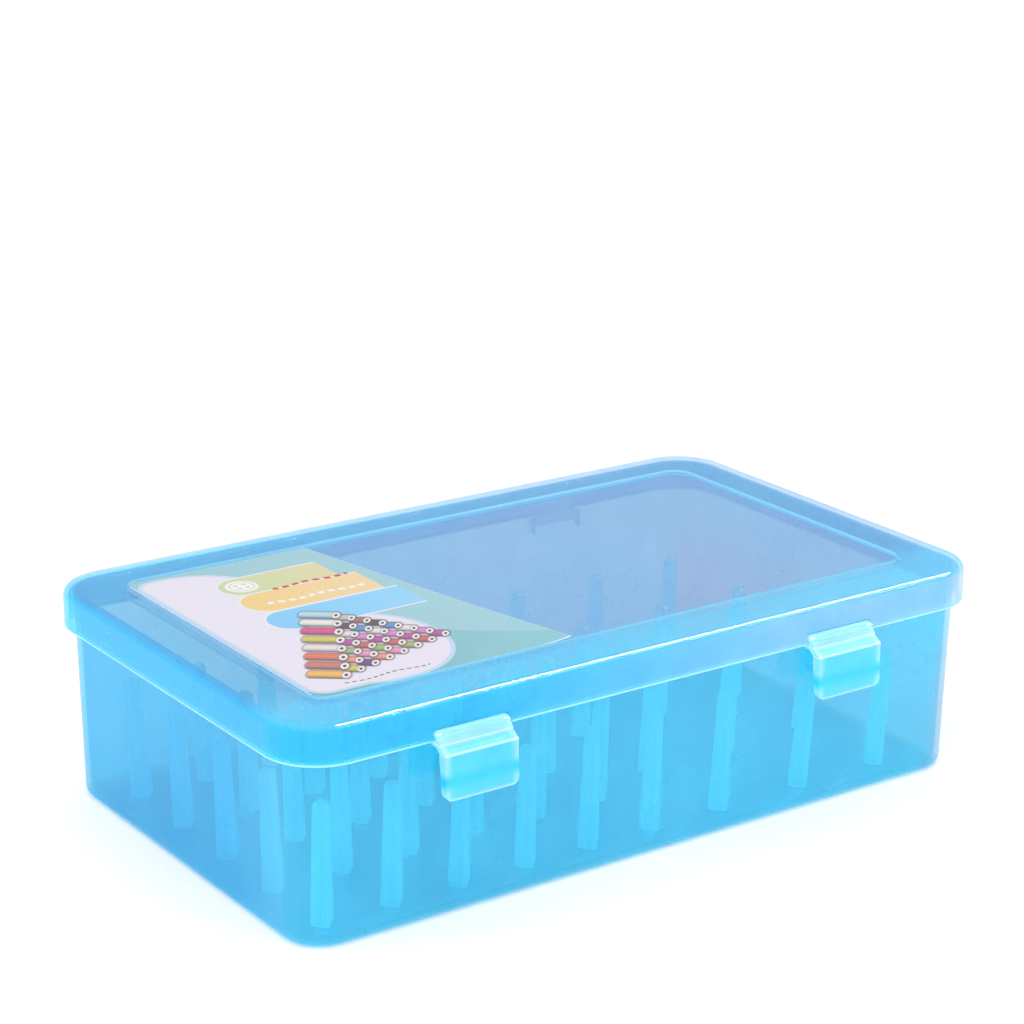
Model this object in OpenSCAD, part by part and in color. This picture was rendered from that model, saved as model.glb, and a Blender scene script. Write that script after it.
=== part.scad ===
// Spool box: a drafted tray with push-in spool pegs, a hinged lid with a skirt
// and a sunk label panel, and two clip latches that hang from the lid.
// Millimetres. +X runs along the box, -Y is the latch side, +Z is up.
// The origin is the middle of the tray's flat underside.

/* [Overall] */
// Length of the lid, the longest part of the box
lid_len = 245; // [238:1:252]
// Width of the lid from the latch side to the hinge side
lid_wid = 146; // [142:1:150]
// Height of the closed box
box_h = 66.3; // [64:0.1:70]

/* [Lid] */
// Height of the lid's skirt
skirt_h = 12.1; // [11.5:0.1:13]
// Outer corner radius seen from above
lid_corner_r = 16.7; // [15.5:0.1:17.5]
// Rounding of the top edge
lid_edge_r = 2.8; // [2.2:0.1:3.2]
// Thickness of the lid's plate and skirt
lid_wall = 1.5; // [1.3:0.1:1.6]
// Width of the raised frame round the sunk panel
frame_w = 16.8; // [15:0.2:19]
// How far the panel is sunk below the frame
panel_drop = 0.9; // [0.6:0.1:1.1]
// Corner radius of the sunk panel
panel_corner_r = 7; // [5:0.5:9]

/* [Tray] */
// Gap at the top between the skirt's outside and the tray's outside
tray_inset = 3.2; // [3:0.1:3.5]
// How much each wall leans in towards the bottom
tray_draft = 1.5; // [1:0.1:1.8]
// Corner radius of the tray at the bottom
tray_corner_r = 11.5; // [10:0.5:12.5]
// Thickness of the tray's walls
tray_wall = 1.6; // [1.4:0.1:1.8]
// Thickness of the floor
floor_t = 2; // [1.8:0.1:2.4]
// Rounding where the walls meet the underside
tray_edge_r = 2.4; // [2:0.1:2.8]

/* [Pegs] */
// Height of a peg above the floor
peg_h = 36.8; // [34:0.2:39]
// Width across a peg's fins at its foot
peg_w = 6.7; // [6:0.1:7]
// Width across a peg's fins at its top
peg_top_w = 4.9; // [4.2:0.1:6]
// Thickness of a fin
fin_t = 1.7; // [1.4:0.1:2]
// Outward lean of the outermost pegs along X, in degrees
lean_x = 2.6; // [0:0.1:3]
// Outward lean of the outermost pegs along Y, in degrees
lean_y = 3.2; // [0:0.1:3.5]
// Uneven seating from peg to peg, in degrees
lean_scatter = 0.7; // [0:0.1:0.8]

/* [Latches] */
// Width of a latch
latch_w = 23.8; // [22:0.2:25]
// Distance between the two latches, centre to centre
latch_gap = 130.8; // [126:0.2:134]
// How far the pair of latches sits off the middle of the box
latch_shift = -2.6; // [-4:0.1:0]
// Height of the flap below its shelf
flap_h = 13; // [12:0.1:14]

/* [Hinges] */
// Distance between the two hinges, centre to centre
hinge_gap = 130; // [120:1:140]
// Width of a hinge knuckle
knuckle_w = 16; // [12:1:20]

/* [Label card] */
// Length of the card along its back edge
card_back_len = 61.6; // [58:0.2:64]
// Extra length along its front edge
card_slant = 21.2; // [18:0.2:24]
// Width of the card
card_wid = 110; // [106:1:111]
// Thickness of the card
card_t = 0.35; // [0.3:0.05:0.5]
// How far the card's free end curls up
card_curl = 0.9; // [0.6:0.1:1.2]

/* [Hidden] */
$fn = 48;
eps = 0.01;
arc_steps = 12;

// Lid outline: corner centres, levels
lid_cx = lid_len / 2 - lid_corner_r;
lid_cy = lid_wid / 2 - lid_corner_r;
skirt_z = box_h - skirt_h;
plate_z = box_h - lid_wall;
panel_z = box_h - panel_drop;
rim_edge_r = 0.6;
panel_shift_y = 1;
panel_hx = lid_len / 2 - frame_w;
panel_hy = lid_wid / 2 - frame_w;
panel_lap = 1.5;

// Tray outline: corner centres, wall lines
tray_gap_z = 0.05;
tray_h = plate_z - tray_gap_z;
tray_hx = lid_len / 2 - tray_inset;
tray_hy = lid_wid / 2 - tray_inset;
tray_cx = tray_hx - tray_draft - tray_corner_r;
tray_cy = tray_hy - tray_draft - tray_corner_r;
tray_top_r = tray_corner_r + tray_draft;
tray_lean = tray_draft / tray_h;
tray_inner_r = 1.2;
tray_rim_r = 0.5;

// Pegs: a zone of close columns on the left, a zone of wide ones on the right
left_cols = 6;
left_rows = 5;
left_x = -106;
left_pitch_x = 22.4;
left_pitch_y = 25.8;
right_cols = 3;
right_rows = 4;
right_x = 31.9;
right_pitch_x = 31;
right_pitch_y = 34.4;
front_row_y = -57.4;
peg_chamfer = 0.7;
spigot_l = 1.6;
spigot_r = 2.3;
spigot_tip_r = 2.1;
socket_r = 2.5;
scatter_step = 137.5;
left_pegs = [for (i = [0:left_cols - 1]) for (j = [0:left_rows - 1])
    [left_x + i * left_pitch_x, front_row_y + j * left_pitch_y]];
right_pegs = [for (i = [0:right_cols - 1]) for (j = [0:right_rows - 1])
    [right_x + i * right_pitch_x, front_row_y + j * right_pitch_y]];
pegs = concat(left_pegs, right_pegs);

// Latch section, in (Y, Z): the bar it hangs on, the clip, the shelf and the flap
front_y = -lid_wid / 2;
bar_r = 0.9;
bar_y = front_y + 0.4;
bar_z = skirt_z + bar_r;
bar_grip = 1;
clip_clear = 0.05;
clip_wall = 1;
clip_top_z = skirt_z + 3.3;
clip_lip_y = front_y - 2.7;
clip_lip_z = skirt_z + 0.1;
clip_slot = 1.3;
shelf_y = front_y - 5.4;
shelf_z = skirt_z - 2.3;
flap_foot_z = shelf_z - flap_h;
flap_flare = 0.4;
flap_t = 1.3;
flange_t = 1.2;
flange_top_d = 2.9;
flange_foot_d = 2;
flap_corner_r = 2.2;
hook_w = 16;
hook_top_z = skirt_z - 8.6;
hook_h = 2.6;
bead_w = 18;
bead_h = 1.8;
bead_gap_z = 0.3;
catch_clear = 0.2;
notch_side = 0.3;
notch_top_z = clip_top_z + 0.5;
groove_d = 0.3;
groove_w = 0.9;
groove_end = 1.7;
latch_places = [latch_shift - latch_gap / 2, latch_shift + latch_gap / 2];

// Hinge section, in (Y, Z): the tray carries ears and a bar, the lid carries knuckles
pin_r = 1.2;
pin_y = lid_wid / 2 + 1.8;
pin_z = skirt_z - 3.2;
pin_clear = 0.05;
knuckle_r = 2.2;
ear_r = 1.8;
ear_t = 1.6;
ear_gap = 0.4;
knuckle_slot = 1.7;
hinge_places = [-hinge_gap / 2, hinge_gap / 2];

// Card: it lies in the sunk panel, with a slanted free end on the right
card_x = -104;
card_y = panel_shift_y;
card_gap_z = 0.02;
card_corner_r = 3;
card_curl_len = 14;

function peg_name(n) = str("peg_", n < 10 ? "0" : "", n);

// Points of an arc about [cx, cy] from angle a0 to angle a1
function arc(cx, cy, r, a0, a1) =
    [for (i = [0:arc_steps]) let (a = a0 + (a1 - a0) * i / arc_steps) [cx + r * cos(a), cy + r * sin(a)]];

// Outline of a rectangle with four rounded corners
function round_rect(hx, hy, r) = concat(
    arc(hx - r, hy - r, r, 0, 90),
    arc(r - hx, hy - r, r, 90, 180),
    arc(r - hx, r - hy, r, 180, 270),
    arc(hx - r, r - hy, r, 270, 360));

// Runs a profile, drawn in (distance from the corner centres, height), round a rounded rectangle
module run_round(cx, cy) {
    for (turn = [0, 180]) {
        rotate([0, 0, turn]) translate([cx, 0, 0]) rotate([90, 0, 0])
            linear_extrude(2 * cy, center = true) children();
        rotate([0, 0, turn + 90]) translate([cy, 0, 0]) rotate([90, 0, 0])
            linear_extrude(2 * cx, center = true) children();
    }
    for (corner = [[1, 1, 0], [-1, 1, 90], [-1, -1, 180], [1, -1, 270]]) {
        translate([corner[0] * cx, corner[1] * cy, 0]) rotate([0, 0, corner[2]])
            rotate_extrude(angle = 90) children();
    }
}

// Extrudes a section drawn in (Y, Z) along X, centred on x
module along_x(x, width) {
    translate([x - width / 2, 0, 0]) rotate([90, 0, 90]) linear_extrude(width) children();
}

// Distance of the tray's outer wall line from the corner centres at height z
function tray_u(z) = tray_corner_r + tray_lean * z;

// Distance of the tray's front or back wall from the middle at height z
function wall_y(z) = tray_cy + tray_u(z);

module tray_profile() {
    polygon(concat(
        [[0, 0]],
        arc(tray_u(tray_edge_r) - tray_edge_r, tray_edge_r, tray_edge_r, 270, 360),
        arc(tray_top_r - tray_rim_r, tray_h - tray_rim_r, tray_rim_r, 0, 90),
        arc(tray_top_r - tray_wall + tray_rim_r, tray_h - tray_rim_r, tray_rim_r, 90, 180),
        arc(tray_u(floor_t) - tray_wall - tray_inner_r, floor_t + tray_inner_r, tray_inner_r, 360, 270),
        [[0, floor_t]]));
}

module hinge_ear(x) {
    along_x(x, ear_t) {
        translate([pin_y, pin_z]) circle(ear_r);
        polygon([
            [wall_y(pin_z) - tray_wall / 2, pin_z + ear_r],
            [pin_y, pin_z + ear_r],
            [pin_y, pin_z - ear_r],
            [wall_y(pin_z) - tray_wall / 2, pin_z - 2 * ear_r]]);
    }
}

module tray_hinge(x) {
    reach = knuckle_w / 2 + ear_gap + ear_t / 2;
    hinge_ear(x - reach);
    hinge_ear(x + reach);
    along_x(x, 2 * reach) translate([pin_y, pin_z]) circle(pin_r);
}

// Bead on the front wall that a latch's hook sits under
module catch_bead(x) {
    foot_z = hook_top_z + bead_gap_z;
    tip_y = hook_tip_y() + catch_clear;
    root_y = -wall_y(foot_z) + tray_wall / 2;
    along_x(x, bead_w) polygon([
        [root_y, foot_z],
        [tip_y + 0.3, foot_z],
        [tip_y, foot_z + 0.3],
        [tip_y, foot_z + bead_h / 2],
        [root_y, foot_z + 2 * bead_h]]);
}

module tray() {
    color("lightskyblue", 0.5) difference() {
        union() {
            run_round(tray_cx, tray_cy) tray_profile();
            translate([-tray_cx, -tray_cy, 0]) cube([2 * tray_cx, 2 * tray_cy, floor_t]);
            for (x = hinge_places) tray_hinge(x);
            for (x = latch_places) catch_bead(x);
        }
        for (foot = pegs) {
            translate([foot[0], foot[1], -1]) cylinder(h = floor_t + 2, r = socket_r);
        }
    }
}

// Lean of a peg about its foot: outward, with a little scatter that depends on its number
function peg_lean(n) = let (foot = pegs[n - 1]) [
    lean_x * foot[0] / tray_cx + lean_scatter * sin(scatter_step * n),
    lean_y * foot[1] / tray_cy + lean_scatter * cos(scatter_step * n)];

// A leaning peg stands on the edge of its shoulder, so it is raised by this much
function peg_lift(n) = let (lean = peg_lean(n)) peg_w / 2 * sin(norm(lean)) + 0.03;

module peg(n) {
    foot = pegs[n - 1];
    lean = peg_lean(n);
    color("deepskyblue", 0.7)
    translate([foot[0], foot[1], floor_t + peg_lift(n)]) rotate([-lean[1], lean[0], 0]) {
        intersection() {
            union() {
                translate([-peg_w / 2, -fin_t / 2, 0]) cube([peg_w, fin_t, peg_h]);
                translate([-fin_t / 2, -peg_w / 2, 0]) cube([fin_t, peg_w, peg_h]);
            }
            union() {
                cylinder(h = peg_h - peg_chamfer, r1 = peg_w / 2, r2 = peg_top_w / 2);
                translate([0, 0, peg_h - peg_chamfer])
                    cylinder(h = peg_chamfer, r1 = peg_top_w / 2, r2 = peg_top_w / 2 - peg_chamfer);
            }
        }
        translate([0, 0, -spigot_l]) cylinder(h = spigot_l + eps, r1 = spigot_tip_r, r2 = spigot_r);
    }
}

module lid_profile() {
    inner_r = lid_edge_r - lid_wall;
    polygon(concat(
        [[0, plate_z]],
        [[0, box_h]],
        arc(lid_corner_r - lid_edge_r, box_h - lid_edge_r, lid_edge_r, 90, 0),
        arc(lid_corner_r - rim_edge_r, skirt_z + rim_edge_r, rim_edge_r, 0, -90),
        [[lid_corner_r - lid_wall, skirt_z]],
        arc(lid_corner_r - lid_wall - inner_r, plate_z - inner_r, inner_r, 0, 90)));
}

// Ring round the tray's hinge bar, open below so that it snaps on, with an arm up to the skirt
module knuckle(x) {
    back_y = lid_wid / 2;
    along_x(x, knuckle_w) difference() {
        union() {
            translate([pin_y, pin_z]) circle(knuckle_r);
            polygon([
                [back_y - lid_wall / 2, skirt_z + 3.6],
                [back_y + 0.6, skirt_z + 3.6],
                [pin_y + knuckle_r - 0.7, skirt_z - 1],
                [pin_y + knuckle_r, pin_z],
                [pin_y - knuckle_r, pin_z],
                [back_y - lid_wall / 2, skirt_z]]);
        }
        translate([pin_y, pin_z]) circle(pin_r + pin_clear);
        translate([pin_y - knuckle_slot / 2, pin_z - 2 * knuckle_r]) square([knuckle_slot, 2 * knuckle_r]);
    }
}

module latch_notch(x) {
    width = latch_w + 2 * notch_side;
    translate([x - width / 2, front_y - 1, skirt_z - 1]) cube([width, lid_wall + 2, notch_top_z - skirt_z + 1]);
}

module latch_bar(x) {
    along_x(x, latch_w + 2 * notch_side + 2 * bar_grip) translate([bar_y, bar_z]) circle(bar_r);
}

module lid() {
    color("skyblue", 0.5) {
        difference() {
            union() {
                run_round(lid_cx, lid_cy) lid_profile();
                translate([-lid_cx, -lid_cy, plate_z]) cube([2 * lid_cx, 2 * lid_cy, lid_wall]);
                translate([0, panel_shift_y, panel_z - lid_wall]) linear_extrude(lid_wall)
                    polygon(round_rect(panel_hx + panel_lap, panel_hy + panel_lap, panel_corner_r + panel_lap));
            }
            translate([0, panel_shift_y, panel_z]) linear_extrude(2 * panel_drop)
                polygon(round_rect(panel_hx, panel_hy, panel_corner_r));
            for (x = latch_places) latch_notch(x);
        }
        for (x = latch_places) latch_bar(x);
        for (x = hinge_places) knuckle(x);
    }
}

function flap_y(z) = shelf_y - flap_flare * (shelf_z - z) / flap_h;

function hook_tip_y() = -wall_y(hook_top_z) - 2;

// Clip, shelf and front plate of a latch, in (Y, Z)
module latch_section() {
    difference() {
        union() {
            translate([bar_y, bar_z]) circle(bar_r + clip_clear + clip_wall);
            polygon([
                [bar_y, clip_top_z],
                [front_y, clip_top_z],
                [clip_lip_y, clip_lip_z],
                [clip_lip_y, clip_lip_z - 0.5],
                [shelf_y + 0.4, shelf_z + 0.4],
                [shelf_y, shelf_z],
                [flap_y(flap_foot_z), flap_foot_z],
                [flap_y(flap_foot_z) + flap_t, flap_foot_z],
                [shelf_y + flap_t, shelf_z - 1],
                [bar_y - 0.6, bar_z - 1.6]]);
        }
        translate([bar_y, bar_z]) circle(bar_r + clip_clear);
        translate([bar_y, bar_z]) rotate(40) translate([0, -clip_slot / 2]) square([6, clip_slot]);
    }
}

// Stiffening flange along one side of the flap
module flange_section() {
    polygon([
        [shelf_y + 0.4, shelf_z],
        [flap_y(flap_foot_z) + 0.4, flap_foot_z],
        [flap_y(flap_foot_z) + flange_foot_d, flap_foot_z],
        [shelf_y + flange_top_d, shelf_z - 1.4],
        [shelf_y + flange_top_d, shelf_z + 0.6]]);
}

module hook_section() {
    polygon([
        [flap_y(hook_top_z) + 0.6, hook_top_z],
        [hook_tip_y(), hook_top_z],
        [hook_tip_y(), hook_top_z - hook_h / 2],
        [flap_y(hook_top_z - hook_h) + flap_t, hook_top_z - hook_h],
        [flap_y(hook_top_z - hook_h) + 0.6, hook_top_z - hook_h]]);
}

// Front view of a latch: rounded foot, small top corners
module latch_outline() {
    half = latch_w / 2;
    top_r = 1;
    polygon(concat(
        arc(half - top_r, clip_top_z - top_r, top_r, 0, 90),
        arc(top_r - half, clip_top_z - top_r, top_r, 90, 180),
        arc(flap_corner_r - half, flap_foot_z + flap_corner_r, flap_corner_r, 180, 270),
        arc(half - flap_corner_r, flap_foot_z + flap_corner_r, flap_corner_r, 270, 360)));
}

// Two finger grooves in the sloping face of the clip
module clip_grooves(x) {
    slope = atan2(clip_top_z - clip_lip_z, front_y - clip_lip_y);
    face_l = norm([clip_top_z - clip_lip_z, front_y - clip_lip_y]);
    for (part = [0.33, 0.68]) {
        translate([x, clip_lip_y, clip_lip_z]) rotate([slope, 0, 0])
            translate([groove_end - latch_w / 2, face_l * part - groove_w / 2, -groove_d])
                cube([latch_w - 2 * groove_end, groove_w, 2 * groove_d]);
    }
}

module latch(x) {
    color("paleturquoise", 0.8) difference() {
        intersection() {
            union() {
                along_x(x, latch_w) latch_section();
                for (side = [-1, 1]) along_x(x + side * (latch_w - flange_t) / 2, flange_t) flange_section();
                along_x(x, hook_w) hook_section();
            }
            translate([x, 0, 0]) rotate([90, 0, 0]) linear_extrude(lid_wid) latch_outline();
        }
        clip_grooves(x);
    }
}

module latch_left() {
    latch(latch_places[0]);
}

module latch_right() {
    latch(latch_places[1]);
}

// Side view of the card, in (X, Z): flat, with a free end that curls up
module card_side() {
    z = panel_z + card_gap_z;
    flat_end = card_x + card_back_len + card_slant - card_curl_len;
    curl_r = (card_curl_len * card_curl_len + card_curl * card_curl) / (2 * card_curl);
    curl_angle = asin(card_curl_len / curl_r);
    polygon(concat(
        [[card_x, z + card_t]],
        [[card_x, z]],
        arc(flat_end, z + curl_r, curl_r, 270, 270 + curl_angle),
        arc(flat_end, z + curl_r, curl_r - card_t, 270 + curl_angle, 270)));
}

module card_outline() {
    half = card_wid / 2;
    back_end = card_x + card_back_len;
    polygon(concat(
        [[back_end, card_y + half]],
        arc(card_x + card_corner_r, card_y + half - card_corner_r, card_corner_r, 90, 180),
        arc(card_x + card_corner_r, card_y - half + card_corner_r, card_corner_r, 180, 270),
        [[back_end + card_slant, card_y - half]]));
}

module label_card() {
    color("lavender") intersection() {
        translate([0, card_y + card_wid, 0]) rotate([90, 0, 0]) linear_extrude(2 * card_wid) card_side();
        translate([0, 0, panel_z - 1]) linear_extrude(card_t + card_curl + 3) card_outline();
    }
}

tray();
lid();
latch_left();
latch_right();
label_card();
for (n = [1:len(pegs)]) peg(n);
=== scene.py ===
"""Looks of the thread spool box: clear blue plastics, cloudy pegs, frosted latches and a printed card."""

import math

import bpy
from mathutils import Matrix, Vector


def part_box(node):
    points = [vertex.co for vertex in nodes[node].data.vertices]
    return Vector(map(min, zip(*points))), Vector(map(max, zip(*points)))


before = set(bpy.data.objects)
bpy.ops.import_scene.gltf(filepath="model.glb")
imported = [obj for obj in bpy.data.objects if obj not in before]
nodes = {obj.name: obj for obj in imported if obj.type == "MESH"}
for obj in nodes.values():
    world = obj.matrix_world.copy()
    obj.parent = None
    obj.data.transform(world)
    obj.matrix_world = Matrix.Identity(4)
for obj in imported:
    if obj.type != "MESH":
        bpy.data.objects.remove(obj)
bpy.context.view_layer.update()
scene = bpy.context.scene
MM = 0.001
X, Y, Z = range(3)

# ---- constants: camera and light ----------------------------------------------
# The camera stands where the box's outline falls as it does in the photo
YAW, PITCH, ROLL = (math.radians(angle) for angle in (35.24, 17.92, 0.52))
CAMERA_PLACE = (-0.4547, -0.6384, 0.3382)
CAMERA_LENS = 96.86
SENSOR_WIDTH = 36
WORLD = (1.07, 1.42)  # strength at the horizon and high up
WORLD_TOP = 0.8  # how high a direction points where the strength stops rising
LEAN = (-0.38, -0.32, 0.0)  # the sky is brighter toward here
SKY = (1.0, 0.97, 1.08)
LAMP_POWER = 18.0
LAMP_PLACE = (0.45, -0.30, 0.77)
LAMP_TARGET = (0, 0, 0.03)
LAMP_SIZE = (0.8, 0.12)
FLOOR = (0.99, 0.955, 0.955)
FLOOR_SIZE = 8
FLOOR_DROP = 0.4 * MM

# ---- constants: plastics, each with its tint, the colour of its cloud and its haze ----
TRAY = ((0.64, 0.90, 0.95), (0.20, 0.87, 1.0), 0.27)
# Painted shade: a deeper blue on the tray's left end and a greyer colour on the lower right end
TRAY_LEFT_SHADE = ((0.44, 0.82, 0.92), (0.07, 0.77, 0.98), 0.27)
TRAY_RIGHT_SHADE = ((0.73, 0.86, 0.91), (0.40, 0.74, 0.88), 0.27)
LID = ((0.78, 0.88, 0.94), (0.28, 0.80, 0.97), 0.05)
# Painted light: a clearer sky blue on the front strip of the lid, for the walls that show through it
LID_FRONT_PAINTED_LIGHT = ((0.68, 0.93, 0.99), (0.28, 0.86, 0.99), 0.30)
# The panel is slightly matt, and its greyer cloud is a painted reflection of the pale surroundings
PANEL_MATT_REFLECTION = ((0.78, 0.88, 0.935), (0.64, 0.50, 0.75), 0.15)
# Painted light: the skirt gets a deeper, cloudier blue than the lid's top for light crossing it edge-on, and a
# paler one toward the right
SKIRT_PAINTED_LIGHT = ((0.42, 0.95, 1.0), (0.08, 0.74, 1.0), 0.32)
SKIRT_RIGHT_PAINTED_LIGHT = ((0.85, 0.95, 1.0), (0.52, 0.80, 1.0), 0.40)
HINGE = ((0.985, 0.995, 1.0), (0.40, 0.85, 1.0), 0.02)
LATCH = ((0.6, 0.99, 1.0), (0.22, 0.92, 1.0), 0.42)
# On the flanges this paler look is a painted highlight
LATCH_PALE = ((0.85, 0.99, 0.98), (0.66, 1.0, 0.97), 0.6)
LATCH_DEEP = ((0.5, 0.97, 1.0), (0.08, 0.85, 1.0), 0.5)
PEG = ((0.60, 0.98, 1.0), (0.62, 1.0, 1.0), 0.65)
# A painted glow, an emission that makes the pegs shine though they are no lamp
PEG_PAINTED_GLOW = (0.0, 0.042, 0.068)
# Colours of the painted highlight lines along edges
EDGE_GLOW = (0.5, 0.95, 1.0)
LID_GLOW = (0.65, 1.0, 1.0)
LATCH_GLOW = (0.95, 1.0, 1.0)

# ---- constants: moulded detail --------------------------------------------------
CLOUD_SCALE, SCRATCH_SCALE, SWELL_SCALE = 55, 260, 28
NOISE_RANGE = (0.3, 0.7)  # most values of a noise lie between these
CLOUD_RANGE = (0.8, 1.2)
SCRATCH_RANGE = (0.35, 0.75)
SCRATCH_STRETCH = (1, 0.12, 1)
SCRATCH_ROUGHNESS = 0.04
SWELL_STRENGTH = 0.25
SWELL_HEIGHT = 1.5 * MM
SPECK_PITCH, SPECK_SIZE = 9 * MM, 0.3 * MM
SPECK_HAZE = 0.25
GLOW_HAZE = 0.8
FAINT_SHINE = 0.2

# ---- constants: heights and outlines on the object --------------------------------
LID_HALF = (122.5, 73.0)
LID_CORNER = 16.7
RIM_Z = 54.2 * MM
TOP_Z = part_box("lid")[1].z
PANEL_Z = TOP_Z - 0.9 * MM
PANEL_SHIFT = (0, 1 * MM, 0)
PANEL_HALF = (105.7 * MM, 56.2 * MM)
PANEL_SOFT = 0.3 * MM
STEP_HALF = (110 * MM, 62 * MM)
STEP_DEPTH = 1.6 * MM
STEEP = (0.6, 0.3)  # upward part of the normal at which a face begins to count as steep, and fully counts
LATCH_BOXES = [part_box(name) for name in ("latch_left", "latch_right")]
LATCH_LIP = RIM_Z - 0.1 * MM
LATCH_SHELF = RIM_Z - 2.3 * MM
LATCH_HOOK = RIM_Z - 10 * MM
LATCH_FOOT = LATCH_BOXES[0][0].z
# Each pair is where a zone fades in: from nothing at the first value to full at the second
LID_FRONT_Y = (-44 * MM, -57 * MM)
SKIRT_OUTLINE = (-5.5, -4.5)  # in millimetres from the lid's outline
SKIRT_Z = (TOP_Z - 0.6 * MM, TOP_Z - 2 * MM)
SKIRT_RIGHT_X = (-70 * MM, 50 * MM)
HINGE_Y = (73.1 * MM, 73.5 * MM)
TRAY_LEFT_X, TRAY_LEFT_Y = (-109 * MM, -116 * MM), (-60 * MM, -30 * MM)
TRAY_RIGHT_X, TRAY_RIGHT_Z = (104 * MM, 115 * MM), (50 * MM, 25 * MM)
TRAY_FOOT_Z = (1.8 * MM, 0.6 * MM)
LATCH_FOOT_Z = (LATCH_FOOT + 0.9 * MM, LATCH_FOOT + 0.4 * MM)
LATCH_CLIP_Z = (LATCH_LIP - 0.8 * MM, LATCH_LIP)
FLANGE_INSET = (2.4 * MM, 0.8 * MM)  # inward from the side of a latch
# How strong each painted edge highlight is, next to the lid's rim and the latch's lip at 1
STEP_GLOW, TRAY_FOOT_GLOW, LATCH_SHELF_GLOW, LATCH_FOOT_GLOW, FLANGE_HIGHLIGHT = 0.7, 0.6, 0.85, 0.7, 0.8


# ---- camera ---------------------------------------------------------------------
def aim_camera():
    """Yaw turns the view from +Y toward +X, pitch lowers it, and roll turns it about its own line of sight."""
    ahead = Vector((math.sin(YAW) * math.cos(PITCH), math.cos(YAW) * math.cos(PITCH), -math.sin(PITCH)))
    level = Vector((math.cos(YAW), -math.sin(YAW), 0))
    upright = level.cross(ahead)
    right = level * math.cos(ROLL) + upright * math.sin(ROLL)
    up = upright * math.cos(ROLL) - level * math.sin(ROLL)
    camera = bpy.data.objects.new("camera", bpy.data.cameras.new("camera"))
    turn = Matrix((right, up, -ahead)).transposed().to_4x4()
    camera.matrix_world = Matrix.Translation(CAMERA_PLACE) @ turn
    camera.data.sensor_width = SENSOR_WIDTH
    camera.data.lens = CAMERA_LENS
    scene.collection.objects.link(camera)
    scene.camera = camera


# ---- node helpers -----------------------------------------------------------------
class Graph:
    """A node tree, with short calls for the nodes used here."""

    def __init__(self, tree):
        self.tree = tree

    @classmethod
    def of_material(cls, name):
        """The emptied tree of a new material, with its object coordinates and normals at hand."""
        material = bpy.data.materials.new(name)
        material.use_nodes = True
        graph = cls(material.node_tree)
        graph.tree.nodes.clear()
        graph.material = material
        graph.place = graph.node("TexCoord").outputs["Object"]
        graph.facing = graph.node("TexCoord").outputs["Normal"]
        return graph

    def node(self, kind, inputs=None, **settings):
        made = self.tree.nodes.new("ShaderNode" + kind)
        for key, value in settings.items():
            setattr(made, key, value)
        for key, value in (inputs or {}).items():
            self.feed(made.inputs[key], value)
        return made

    def feed(self, socket, value):
        if isinstance(value, bpy.types.NodeSocket):
            self.tree.links.new(value, socket)
        elif socket.type == "RGBA":
            socket.default_value = (*value[:3], 1)
        elif value is not None:
            socket.default_value = value

    def math(self, operation, a, b=None, clamp=False):
        made = self.node("Math", operation=operation, use_clamp=clamp)
        self.feed(made.inputs[0], a)
        self.feed(made.inputs[1], b)
        return made.outputs[0]

    def product(self, *values):
        """All the values multiplied together."""
        result = values[0]
        for value in values[1:]:
            result = self.math("MULTIPLY", result, value)
        return result

    def vector(self, operation, a, b=None):
        made = self.node("VectorMath", operation=operation)
        self.feed(made.inputs[0], a)
        if b is not None:
            self.feed(made.inputs["Scale"] if operation == "SCALE" else made.inputs[1], b)
        return made.outputs["Value" if operation in ("DOT_PRODUCT", "LENGTH") else "Vector"]

    def axis(self, vector, axis):
        """One component of a vector."""
        return self.node("SeparateXYZ", {0: vector}).outputs[axis]

    def ramp(self, value, low, high, start=0.0, end=1.0):
        """Runs from start at low to end at high, and stays there beyond."""
        made = self.node("MapRange", {0: value, 1: low, 2: high, 3: start, 4: end})
        return made.outputs[0]

    def noise(self, scale, detail=2.0, stretch=(1, 1, 1), rough=0.5):
        place = self.node("Mapping", {"Vector": self.place, "Scale": stretch}).outputs[0]
        inputs = {"Vector": place, "Scale": scale, "Detail": detail, "Roughness": rough}
        return self.node("TexNoise", inputs).outputs[0]

    def mix_colour(self, factor, a, b, blend="MIX"):
        made = self.node("Mix", data_type="RGBA", blend_type=blend)
        self.feed(made.inputs[0], factor)
        self.feed(made.inputs[6], a)
        self.feed(made.inputs[7], b)
        return made.outputs[2]

    def mix_shader(self, factor, a, b):
        made = self.node("MixShader")
        self.feed(made.inputs[0], factor)
        self.feed(made.inputs[1], a)
        self.feed(made.inputs[2], b)
        return made.outputs[0]

    def output(self, shader):
        self.node("OutputMaterial", {"Surface": shader})


def linear(red, green, blue):
    """A colour given as 0 to 255 screen values, as the linear values that shaders take."""
    return tuple((v / 255 / 12.92) if v <= 10 else ((v / 255 + 0.055) / 1.055) ** 2.4 for v in (red, green, blue))


def band(graph, value, low, high, soft):
    """1 where value lies between low and high, with soft sides."""
    return graph.product(graph.ramp(value, low - soft, low), graph.ramp(value, high + soft, high))


def rounded(graph, point, low, high, radius):
    """Distance outside a rectangle with rounded corners, negative inside."""
    middle = ((low[0] + high[0]) / 2, (low[1] + high[1]) / 2, 0)
    half = ((high[0] - low[0]) / 2 - radius, (high[1] - low[1]) / 2 - radius, 0)
    beyond = graph.vector("SUBTRACT", graph.vector("ABSOLUTE", graph.vector("SUBTRACT", point, middle)), half)
    return graph.math("SUBTRACT", graph.vector("LENGTH", graph.vector("MAXIMUM", beyond, (0, 0, 0))), radius)


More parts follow.
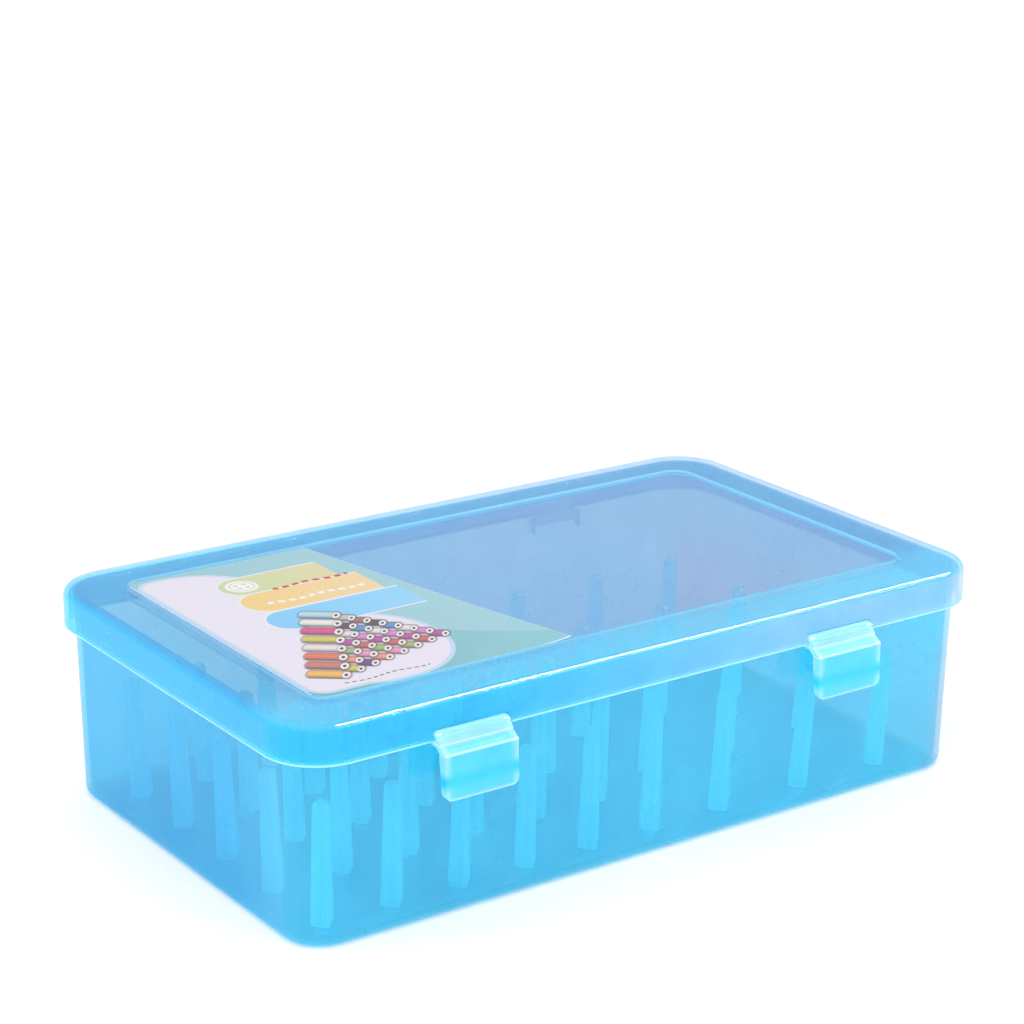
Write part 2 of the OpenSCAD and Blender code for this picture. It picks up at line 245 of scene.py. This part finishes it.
# ---- clear and cloudy plastics ------------------------------------------------------
def specks(graph, pitch, size):
    """Small round marks scattered over a surface, about one in every second cell of the given pitch."""
    cells = graph.node("TexVoronoi", {"Vector": graph.place, "Scale": 1 / pitch, "Randomness": 1.0})
    dot = graph.ramp(cells.outputs["Distance"], size / pitch, size / pitch * 0.5)
    lot = graph.node("SeparateColor", {0: cells.outputs["Color"]}).outputs[0]
    return graph.product(dot, graph.math("GREATER_THAN", lot, 0.5))


def plastic(name, look, roughness, ior=1.49, wave=1.0, zones=(), glow=None, glow_colour=EDGE_GLOW, faint=None,
            painted_glow=None):
    """Moulded plastic: a tinted wall with a little cloudiness and a few specks in it, under a glossy skin with a
    slow swell and a slightly uneven polish.

    look is (tint, cloud, haze), and zones lists (mask, look) for areas that differ, some by painted light or shade.
    glow is a mask of painted highlights along the edges where light gathers, faint is a mask of small parts that
    hardly shine, and guided is a painted glow, an emission for the light that the plastic carries along inside it.
    """
    graph = Graph.of_material(name)
    tint, cloud, haze = look
    cloudiness = graph.noise(CLOUD_SCALE, 3.0)
    scratches = graph.noise(SCRATCH_SCALE, 4.0, SCRATCH_STRETCH, 0.7)
    for mask, (zone_tint, zone_cloud, zone_haze) in zones:
        zone = mask(graph)
        tint = graph.mix_colour(zone, tint, zone_tint)
        cloud = graph.mix_colour(zone, cloud, zone_cloud)
        haze = graph.node("Mix", {0: zone, 2: haze, 3: zone_haze}).outputs[0]
    amount = graph.product(graph.ramp(cloudiness, *NOISE_RANGE, *CLOUD_RANGE), haze)
    marks = graph.product(specks(graph, SPECK_PITCH, SPECK_SIZE), SPECK_HAZE)
    amount = graph.math("ADD", amount, marks, clamp=True)
    # Painted highlight: where the glow mask is set, the plastic turns cloudy in a pale glow colour
    if glow is not None:
        edge = glow(graph)
        amount = graph.math("MAXIMUM", amount, graph.product(edge, GLOW_HAZE))
        cloud = graph.mix_colour(edge, cloud, glow_colour)
    height = graph.noise(SWELL_SCALE, 1.0)
    swell = {"Strength": SWELL_STRENGTH * wave, "Distance": SWELL_HEIGHT, "Height": height}
    normal = graph.node("Bump", swell).outputs[0]
    clear = graph.node("BsdfTransparent", {"Color": tint}).outputs[0]
    front = graph.node("BsdfDiffuse", {"Color": cloud, "Normal": normal}).outputs[0]
    through = graph.node("BsdfTranslucent", {"Color": cloud, "Normal": normal}).outputs[0]
    body = graph.mix_shader(amount, clear, graph.mix_shader(0.5, front, through))
    # Painted glow: an emission that makes the plastic shine though it is no lamp
    if painted_glow is not None:
        glow_emission = graph.node("Emission", {"Color": painted_glow, "Strength": 1.0}).outputs[0]
        body = graph.node("AddShader", {0: body, 1: glow_emission}).outputs[0]
    polish = graph.ramp(scratches, *SCRATCH_RANGE, roughness, roughness + SCRATCH_ROUGHNESS)
    shine = graph.node("BsdfGlossy", {"Roughness": polish, "Normal": normal}).outputs[0]
    back = graph.node("NewGeometry").outputs["Backfacing"]
    mirror = graph.node("Fresnel", {"IOR": graph.ramp(back, 0, 1, ior, 1 / ior)}).outputs[0]
    if faint is not None:
        mirror = graph.product(mirror, graph.ramp(faint(graph), 0, 1, 1.0, FAINT_SHINE))
    graph.output(graph.mix_shader(mirror, body, shine))
    return graph.material


# ---- masks on the lid, the tray and the latches ------------------------------------------
def lid_painted_highlights(graph):
    """Painted highlight lines along the lid's lower rim and the step down to its sunk panel."""
    x, y, z = (graph.axis(graph.place, axis) for axis in (X, Y, Z))
    rim = band(graph, z, RIM_Z - 0.2 * MM, RIM_Z + 0.7 * MM, 0.3 * MM)
    steep = graph.ramp(graph.math("ABSOLUTE", graph.axis(graph.facing, Z)), *STEEP)
    inside_x = graph.math("LESS_THAN", graph.math("ABSOLUTE", x), STEP_HALF[X])
    inside_y = graph.math("LESS_THAN", graph.math("ABSOLUTE", y), STEP_HALF[Y])
    high = graph.math("GREATER_THAN", z, PANEL_Z - STEP_DEPTH)
    return graph.math("MAXIMUM", rim, graph.product(steep, inside_x, inside_y, high, STEP_GLOW))


def lid_front_painted_light(graph):
    """The front strip of the lid's frame, given painted light: a clear sky blue for the walls below that show
    through it.
    """
    return graph.ramp(graph.axis(graph.place, Y), *LID_FRONT_Y)


def lid_panel(graph):
    """The sunk panel of the lid, which is slightly matt, with a greyer cloud painted in as a reflection of the pale
    surroundings.
    """
    from_middle = graph.vector("ABSOLUTE", graph.vector("SUBTRACT", graph.place, PANEL_SHIFT))
    inside_x, inside_y = (
        graph.ramp(graph.axis(from_middle, axis), PANEL_HALF[axis] + PANEL_SOFT, PANEL_HALF[axis] - PANEL_SOFT)
        for axis in (X, Y))
    low = graph.math("LESS_THAN", graph.axis(from_middle, Z), PANEL_Z + 0.05 * MM)
    return graph.product(inside_x, inside_y, low)


def lid_skirt(graph):
    """The lid's upright skirt, from just below the top of its rounded edge."""
    point = graph.vector("MULTIPLY", graph.place, (1 / MM, 1 / MM, 0))
    outline = rounded(graph, point, (-LID_HALF[0], -LID_HALF[1]), LID_HALF, LID_CORNER)
    return graph.product(graph.ramp(outline, *SKIRT_OUTLINE), graph.ramp(graph.axis(graph.place, Z), *SKIRT_Z))


def lid_skirt_right_painted_light(graph):
    """The skirt again, stronger toward the right, where painted light makes it paler."""
    return graph.product(lid_skirt(graph), graph.ramp(graph.axis(graph.place, X), *SKIRT_RIGHT_X))


def hinge_parts(graph):
    """The thin hinge ears, bars and knuckles behind the back wall."""
    return graph.ramp(graph.axis(graph.place, Y), *HINGE_Y)


def tray_left_painted_shade(graph):
    """Painted shade: the left end of the tray behind its front corner is given a deeper blue."""
    end = graph.ramp(graph.axis(graph.place, X), *TRAY_LEFT_X)
    return graph.product(end, graph.ramp(graph.axis(graph.place, Y), *TRAY_LEFT_Y))


def tray_right_painted_shade(graph):
    """Painted shade: the lower part of the tray's right end is given a greyer colour."""
    end = graph.ramp(graph.axis(graph.place, X), *TRAY_RIGHT_X)
    return graph.product(end, graph.ramp(graph.axis(graph.place, Z), *TRAY_RIGHT_Z))


def tray_painted_foot_highlight(graph):
    """A painted highlight along the rounding where the tray's walls meet its underside."""
    return graph.ramp(graph.axis(graph.place, Z), *TRAY_FOOT_Z, 0.0, TRAY_FOOT_GLOW)


def latch_painted_highlights(graph):
    """Painted highlight lines along the lip of a latch's clip, the front of its shelf and its lower edge."""
    height = graph.axis(graph.place, Z)
    lip = band(graph, height, LATCH_LIP - 0.25 * MM, LATCH_LIP + 0.25 * MM, 0.15 * MM)
    shelf = band(graph, height, LATCH_SHELF - 0.25 * MM, LATCH_SHELF + 0.25 * MM, 0.2 * MM)
    foot = graph.ramp(height, *LATCH_FOOT_Z, 0.0, LATCH_FOOT_GLOW)
    return graph.math("MAXIMUM", graph.math("MAXIMUM", lip, graph.product(shelf, LATCH_SHELF_GLOW)), foot)


def latch_pale(graph):
    """The clip and the two side flanges of a latch, on either latch; on the flanges the pale look is a painted
    highlight.
    """
    x = graph.axis(graph.place, X)
    centres = [(low.x + high.x) / 2 for low, high in LATCH_BOXES]
    half = (LATCH_BOXES[0][1].x - LATCH_BOXES[0][0].x) / 2
    centre = graph.ramp(graph.math("GREATER_THAN", x, 0), 0, 1, *centres)
    side = graph.math("ABSOLUTE", graph.math("SUBTRACT", x, centre))
    flange = graph.ramp(side, half - FLANGE_INSET[0], half - FLANGE_INSET[1], 0.0, FLANGE_HIGHLIGHT)
    return graph.math("MAXIMUM", flange, graph.ramp(graph.axis(graph.place, Z), *LATCH_CLIP_Z))


def latch_deep(graph):
    """A deeper band across the flap of a latch, in front of its hook."""
    return band(graph, graph.axis(graph.place, Z), LATCH_HOOK - 0.6 * MM, LATCH_HOOK + 0.6 * MM, 2.2 * MM)


# ---- printed card, drawn in millimetres from the middle of the box -------------------------
INK = (0.76, 0.78, 0.71)
LAVENDER = linear(236, 231, 243)
PALE_EDGE = linear(193, 221, 246)
HALO = linear(240, 240, 246)
GROUND_LEFT, GROUND_RIGHT = linear(112, 184, 192), linear(126, 199, 208)
FACET_LIGHT, FACET_AQUA = linear(196, 226, 238), linear(138, 205, 212)
CARD_BACK = linear(246, 246, 248)
GRAIN = linear(200, 200, 210)
GRAIN_SCALE, GRAIN_SHARE, GRAIN_HEIGHT = 1500, 0.06, 0.05
WARP_SCALE, WARP_STRENGTH, WARP_HEIGHT = 35, 0.15, 0.2 * MM
CARD_POLISH = (0.26, 0.4)
CARD_COAT, CARD_COAT_ROUGHNESS = 0.25, 0.12
PRINT_EDGE = (0.1, -0.1)  # a printed edge fades over 0.2 mm
HALO_EDGE = (0.9, 0.6)
WHITE, RED, DARK = linear(248, 248, 250), linear(205, 40, 45), linear(70, 68, 78)
SPOOL_EDGE, SPOOL_END, SPOOL_BORE = linear(120, 100, 105), linear(244, 241, 238), linear(70, 60, 66)
SPOOL_SHADOW = linear(72, 48, 58)
RIBBONS = (  # left end, right end, middle and half width across, left and right colour
    (-83.5, -47.0, 34.8, 7.4, linear(200, 220, 163), linear(226, 219, 158)),
    (-84.4, -41.5, 19.6, 7.9, linear(246, 210, 118), linear(247, 218, 158)),
    (-85.7, -37.6, 2.7, 7.8, linear(118, 205, 250), linear(140, 216, 254)),
)
STITCHES = (  # left end, right end, height, pitch, half thickness, colour
    (-70, -44, 28.5, 3.6, 0.8, RED),
    (-79, -44, 17.5, 3.4, 0.9, WHITE),
    (-93, -65, -48.3, 2.2, 0.3, DARK),
)
STITCH_WAVE, STITCH_WAVE_HEIGHT, STITCH_SHARE = 0.35, 0.5, 0.62
FAR_LEFT = 200  # keeps x positive where its remainder is taken
BUTTON = (-76.5, 35.2, 0)
BUTTON_EDGE, BUTTON_GROOVE, HOLE_OFFSET, HOLE_EDGE = (5.1, 4.9), 3.7, (1.3, 1.3, 0), (0.6, 0.8)
# The lavender field, as rectangles with rounded corners: lowest corner, highest corner, corner radius
FIELD_LEFT = ((-102.4, -50.8), (-71, 38), 5)
FIELD_CORNER = ((-102.4, 0), (-90, 52.6), 5.5)
FIELD_CROWN = ((-118, 4.6), (-70, 52.6), 24)
FIELD_LOBE = ((-101, -53), (-49.5, 0), 25)
CROWN_LEFT = -98.0
LOBE_EDGE = (1.5, 1.3)
# The facets of the ground: where their slanting borders lie, and how strong they are
FACET_SLOPE = 1.3
FACET_FALLING, FACET_RISING = (-84.3, -83.7), (14.3, 13.7)
FACET_LIGHT_SHARE, FACET_AQUA_SHARE = 0.35, 0.3
# The printed pile: spools lie on a slanting lattice, with a row of long ones in front
LONG_THREADS = ((250, 188, 70), (205, 122, 96), (232, 118, 72), (242, 226, 226), (214, 204, 78), (226, 60, 134),
                (241, 238, 226), (184, 222, 234))
SHORT_THREADS = ((42, 82, 76), (245, 150, 118), (215, 88, 88), (236, 232, 228), (164, 104, 88), (236, 196, 58),
                 (98, 48, 140), (164, 190, 104), (226, 130, 214), (62, 56, 66), (230, 58, 58), (214, 206, 84),
                 (245, 150, 195), (196, 60, 170), (68, 150, 206), (206, 196, 176))
PILE_START = Vector((-88.6, -43.0, 0))
PILE_UP = Vector((3.19, 5.96, 0))
PILE_ACROSS = Vector((5.77, 1.71, 0))
PILE_ROWS = 8
PILE_TURN = math.radians(143)
PILE_AXIS = Vector((math.cos(PILE_TURN), math.sin(PILE_TURN), 0))
PILE_SIDE = Vector((math.sin(PILE_TURN), -math.cos(PILE_TURN), 0))
LONG_SPOOL = {"Radius": 2.8, "Length": 9.4}
SHORT_SPOOL = {"Radius": 2.45, "Length": 3.8}
REACH_UP, REACH_ACROSS = 0.58, 1.37  # how many lattice steps ahead of its own cell a short spool can show
COLOUR_STEP_UP, COLOUR_STEP_ACROSS = 0.383, 0.69
OVAL = 2.0  # the end of a spool is drawn as an oval, this many times as wide across its axis as along it
WINDINGS, WINDING_DEPTH = 30.0, 0.05
LIT_SIDE, SIDE_SHADE = 0.25, 0.6
# Parts of a spool's radius at which a colour of its end fades in
RIM_AT, END_AT, BORE_AT = (1.0, 0.9), (0.9, 0.78), (0.42, 0.34)
OUTLINE_AT, SHADOW_AT, SHADOW_SHARE = (1.03, 0.97), (1.45, 1.05), 0.75


def spool_group():
    """One printed spool: thread wound on a body, and a pale end with a dark bore, painted over what is under it."""
    tree = bpy.data.node_groups.new("printed_spool", "ShaderNodeTree")
    for kind, label in (("Vector", "Gap"), ("Float", "Radius"), ("Float", "Length"), ("Float", "Shown"),
                        ("Color", "Thread"), ("Color", "Under")):
        tree.interface.new_socket(label, in_out="INPUT", socket_type="NodeSocket" + kind)
    tree.interface.new_socket("Colour", in_out="OUTPUT", socket_type="NodeSocketColor")
    graph = Graph(tree)
    gap, radius, length, shown, thread, under = tree.nodes.new("NodeGroupInput").outputs[:6]
    along = graph.math("DIVIDE", graph.vector("DOT_PRODUCT", gap, PILE_AXIS), radius)
    across = graph.math("DIVIDE", graph.vector("DOT_PRODUCT", gap, PILE_SIDE), radius)
    clamped = graph.math("MINIMUM", graph.math("MAXIMUM", along, 0.0), graph.math("DIVIDE", length, radius))
    past = graph.product(graph.math("SUBTRACT", along, clamped), OVAL)
    outline = graph.vector("LENGTH", graph.node("CombineXYZ", {0: past, 1: across}).outputs[0])
    face = graph.vector("LENGTH", graph.node("CombineXYZ", {0: graph.product(along, OVAL), 1: across}).outputs[0])
    off = graph.math("SUBTRACT", across, LIT_SIDE)
    shade = graph.math("SUBTRACT", 1.0, graph.product(off, off, SIDE_SHADE))
    wound = graph.product(graph.math("SINE", graph.product(along, WINDINGS)), WINDING_DEPTH)
    grey = graph.math("ADD", shade, wound)
    shading = graph.node("CombineColor", {0: grey, 1: grey, 2: grey}).outputs[0]
    body = graph.mix_colour(1.0, thread, shading, "MULTIPLY")
    body = graph.mix_colour(graph.ramp(face, *RIM_AT), body, SPOOL_EDGE)
    body = graph.mix_colour(graph.ramp(face, *END_AT), body, SPOOL_END)
    body = graph.mix_colour(graph.ramp(face, *BORE_AT), body, SPOOL_BORE)
    shadow = graph.product(graph.ramp(outline, *SHADOW_AT, 0.0, SHADOW_SHARE), shown)
    seen = graph.product(graph.ramp(outline, *OUTLINE_AT), shown)
    under = graph.mix_colour(shadow, under, SPOOL_SHADOW)
    tree.links.new(graph.mix_colour(seen, under, body), tree.nodes.new("NodeGroupOutput").inputs[0])
    return tree


def palette(graph, value, colours):
    """One of the colours, for a value from 0 to 1."""
    made = graph.node("ValToRGB", {0: value})
    made.color_ramp.interpolation = "CONSTANT"
    stops = made.color_ramp.elements
    for index, colour in enumerate(colours):
        stop = stops[0] if index == 0 else stops.new(index / len(colours))
        stop.color = (*linear(*colour), 1)
    stops.remove(stops[-1])
    return made.outputs[0]


def spool_pile(graph, point, colour):
    """Paints the pile over colour: the short spools of the four lattice cells that can reach a point, from the back
    forward, then the row of long ones."""
    group = spool_group()
    gap = graph.vector("SUBTRACT", point, PILE_START)
    area = PILE_UP.cross(PILE_ACROSS).z
    steps_up = graph.vector("DOT_PRODUCT", gap, Vector((PILE_ACROSS.y, -PILE_ACROSS.x, 0)) / area)
    steps_across = graph.vector("DOT_PRODUCT", gap, Vector((-PILE_UP.y, PILE_UP.x, 0)) / area)
    first_up = graph.math("FLOOR", graph.math("ADD", steps_up, REACH_UP))
    first_across = graph.math("FLOOR", graph.math("ADD", steps_across, REACH_ACROSS))
    for back in (0, 1):
        across = graph.math("SUBTRACT", first_across, back)
        for down in (0, 1):
            up = graph.math("SUBTRACT", first_up, down)
            own = graph.vector("SUBTRACT", gap, graph.vector("SCALE", PILE_UP, up))
            own = graph.vector("SUBTRACT", own, graph.vector("SCALE", PILE_ACROSS, across))
            shown = graph.product(graph.math("GREATER_THAN", up, -0.5),
                                  graph.math("GREATER_THAN", across, 0.5),
                                  graph.math("LESS_THAN", graph.math("ADD", up, across), PILE_ROWS - 0.5))
            lot = graph.math("ADD", graph.product(up, COLOUR_STEP_UP), graph.product(across, COLOUR_STEP_ACROSS))
            thread = palette(graph, graph.math("FRACT", lot), SHORT_THREADS)
            colour = graph.node("Group", node_tree=group, inputs={
                "Gap": own, **SHORT_SPOOL, "Shown": shown, "Thread": thread, "Under": colour}).outputs[0]
    row = graph.math("DIVIDE", graph.vector("DOT_PRODUCT", gap, PILE_SIDE), PILE_UP.dot(PILE_SIDE))
    row = graph.math("ROUND", row)
    own = graph.vector("SUBTRACT", gap, graph.vector("SCALE", PILE_UP, row))
    shown = graph.product(graph.math("GREATER_THAN", row, -0.5), graph.math("LESS_THAN", row, PILE_ROWS - 0.5))
    thread = palette(graph, graph.math("DIVIDE", graph.math("ADD", row, 0.5), PILE_ROWS), LONG_THREADS)
    return graph.node("Group", node_tree=group, inputs={
        "Gap": own, **LONG_SPOOL, "Shown": shown, "Thread": thread, "Under": colour}).outputs[0]


def stitches(graph, x, y, low, high, height, pitch, thick):
    """A running stitch from low to high at the given height, with a slight wave."""
    wave = graph.product(graph.math("SINE", graph.product(x, STITCH_WAVE)), STITCH_WAVE_HEIGHT)
    near = graph.math("ABSOLUTE", graph.math("SUBTRACT", graph.math("ADD", y, wave), height))
    line = graph.ramp(near, thick + 0.1, thick - 0.1)
    turn = graph.math("FRACT", graph.math("DIVIDE", graph.math("ADD", x, FAR_LEFT), pitch))
    return graph.product(line, graph.math("LESS_THAN", turn, STITCH_SHARE),
                         graph.math("GREATER_THAN", x, low), graph.math("LESS_THAN", x, high))


def button(graph, point):
    """A round four-hole button with a groove near its edge."""
    gap = graph.vector("SUBTRACT", point, BUTTON)
    radius = graph.vector("LENGTH", gap)
    holes = graph.vector("LENGTH", graph.vector("SUBTRACT", graph.vector("ABSOLUTE", gap), HOLE_OFFSET))
    groove = graph.ramp(graph.math("ABSOLUTE", graph.math("SUBTRACT", radius, BUTTON_GROOVE)), 0.15, 0.3)
    return graph.product(graph.ramp(radius, *BUTTON_EDGE), graph.ramp(holes, *HOLE_EDGE), groove)


def card_ground(graph, x, y):
    """The aqua ground, with two paler facets on a slant."""
    colour = graph.mix_colour(graph.ramp(x, -95, -35), GROUND_LEFT, GROUND_RIGHT)
    falling = graph.math("ADD", x, graph.product(y, FACET_SLOPE))
    rising = graph.math("SUBTRACT", falling, graph.product(y, 2 * FACET_SLOPE))
    colour = graph.mix_colour(graph.ramp(falling, *FACET_FALLING, 0, FACET_LIGHT_SHARE), colour, FACET_LIGHT)
    return graph.mix_colour(graph.ramp(rising, *FACET_RISING, FACET_AQUA_SHARE, 0), colour, FACET_AQUA)


def card_field(graph, point, x, colour):
    """The lavender field with its round crown and its pale-edged lobe, over colour."""
    left, corner, crown, lobe = (
        rounded(graph, point, *shape) for shape in (FIELD_LEFT, FIELD_CORNER, FIELD_CROWN, FIELD_LOBE))
    crown = graph.math("MAXIMUM", crown, graph.math("SUBTRACT", CROWN_LEFT, x))
    field = graph.math("MINIMUM", graph.math("MINIMUM", left, corner), graph.math("MINIMUM", crown, lobe))
    colour = graph.mix_colour(graph.ramp(graph.math("MINIMUM", lobe, field), *LOBE_EDGE), colour, PALE_EDGE)
    return graph.mix_colour(graph.ramp(field, *PRINT_EDGE), colour, LAVENDER)


def card_ribbons(graph, point, x, colour):
    """Three ribbons with a round left end and a pale outline, over colour."""
    for start, stop, middle, half, first, last in RIBBONS:
        shape = rounded(graph, point, (start, middle - half), (stop + 20, middle + half), half - 0.2)
        cut = graph.math("LESS_THAN", x, stop)
        colour = graph.mix_colour(graph.product(graph.ramp(shape, *HALO_EDGE), cut), colour, HALO)
        fill = graph.mix_colour(graph.ramp(x, start, stop), first, last)
        colour = graph.mix_colour(graph.product(graph.ramp(shape, *PRINT_EDGE), cut), colour, fill)
    return colour


def card_material():
    """Glossy print on card, with a plain white back and no lettering."""
    graph = Graph.of_material("printed_card")
    point = graph.vector("MULTIPLY", graph.place, (1 / MM, 1 / MM, 0))
    x, y = (graph.axis(point, axis) for axis in (X, Y))
    colour = card_field(graph, point, x, card_ground(graph, x, y))
    colour = card_ribbons(graph, point, x, colour)
    colour = graph.mix_colour(button(graph, point), colour, WHITE)
    for low, high, height, pitch, thick, thread in STITCHES:
        colour = graph.mix_colour(stitches(graph, x, y, low, high, height, pitch, thick), colour, thread)
    colour = spool_pile(graph, point, colour)
    grain = graph.noise(GRAIN_SCALE, 3.0)
    colour = graph.mix_colour(graph.ramp(grain, *NOISE_RANGE, 0.0, GRAIN_SHARE), colour, GRAIN)
    printed = graph.mix_colour(1.0, colour, INK, "MULTIPLY")
    colour = graph.mix_colour(graph.ramp(graph.axis(graph.facing, Z), 0.7, 0.3), printed, CARD_BACK)
    height = graph.math("ADD", graph.noise(WARP_SCALE, 1.0), graph.product(grain, GRAIN_HEIGHT))
    warp = {"Strength": WARP_STRENGTH, "Distance": WARP_HEIGHT, "Height": height}
    surface = graph.node("BsdfPrincipled", {
        "Base Color": colour, "Roughness": graph.ramp(grain, *NOISE_RANGE, *CARD_POLISH),
        "Normal": graph.node("Bump", warp).outputs[0],
        "Coat Weight": CARD_COAT, "Coat Roughness": CARD_COAT_ROUGHNESS})
    graph.output(surface.outputs[0])
    return graph.material


# ---- studio -------------------------------------------------------------------------
def soft_light(name, place, target, size, power):
    """A softbox that is seen only as a reflection, with its long side along X."""
    lamp = bpy.data.lights.new(name, "AREA")
    lamp.shape = "RECTANGLE"
    lamp.size, lamp.size_y = size
    lamp.energy = power
    holder = bpy.data.objects.new(name, lamp)
    away = (Vector(place) - Vector(target)).normalized()
    along = (Vector((1, 0, 0)) - away * away.x).normalized()
    turn = Matrix((along, away.cross(along), away)).transposed().to_4x4()
    holder.matrix_world = Matrix.Translation(place) @ turn
    holder.visible_diffuse = False
    scene.collection.objects.link(holder)


def light_world():
    """A bright sky that grows stronger upward and toward one side."""
    scene.world = bpy.data.worlds.new("studio")
    scene.world.use_nodes = True
    graph = Graph(scene.world.node_tree)
    graph.tree.nodes.clear()
    toward = graph.node("TexCoord").outputs["Generated"]
    level = graph.ramp(graph.axis(toward, Z), 0.0, WORLD_TOP, *WORLD)
    lean = graph.math("ADD", 1.0, graph.vector("DOT_PRODUCT", toward, LEAN))
    sky = graph.node("Background", {"Color": SKY, "Strength": graph.product(level, lean)}).outputs[0]
    graph.node("OutputWorld", {0: sky})


def lay_floor():
    """A pale matt floor just below the box."""
    bpy.ops.mesh.primitive_plane_add(size=FLOOR_SIZE, location=(0, 0, -FLOOR_DROP))
    floor = bpy.context.object
    floor.name = "floor"
    graph = Graph.of_material("floor")
    graph.output(graph.node("BsdfDiffuse", {"Color": FLOOR}).outputs[0])
    floor.data.materials.append(graph.material)


scene.view_settings.view_transform = "Standard"
scene.cycles.transparent_max_bounces = 48  # a ray can cross many clear walls and pegs
aim_camera()
light_world()
soft_light("softbox", LAMP_PLACE, LAMP_TARGET, LAMP_SIZE, LAMP_POWER)
lay_floor()

# ---- materials, by the first word of a node's name --------------------------------------
materials = {
    "tray": plastic("tray_plastic", TRAY, roughness=0.05, ior=1.4, glow=tray_painted_foot_highlight, faint=hinge_parts,
                    zones=((tray_left_painted_shade, TRAY_LEFT_SHADE), (tray_right_painted_shade, TRAY_RIGHT_SHADE), (hinge_parts, HINGE))),
    "lid": plastic("lid_plastic", LID, roughness=0.04, ior=1.42, wave=0.3, glow=lid_painted_highlights, glow_colour=LID_GLOW,
                   faint=hinge_parts,
                   zones=((lid_front_painted_light, LID_FRONT_PAINTED_LIGHT), (lid_panel, PANEL_MATT_REFLECTION), (lid_skirt, SKIRT_PAINTED_LIGHT),
                          (lid_skirt_right_painted_light, SKIRT_RIGHT_PAINTED_LIGHT), (hinge_parts, HINGE))),
    "latch": plastic("latch_plastic", LATCH, roughness=0.2, glow=latch_painted_highlights, glow_colour=LATCH_GLOW,
                     zones=((latch_pale, LATCH_PALE), (latch_deep, LATCH_DEEP))),
    "peg": plastic("peg_plastic", PEG, roughness=0.3, ior=1.3, painted_glow=PEG_PAINTED_GLOW),
    "label": card_material(),
}
for name, piece in nodes.items():
    kind = name.split("_")[0]
    for slot in piece.material_slots:
        slot.material = materials[kind]
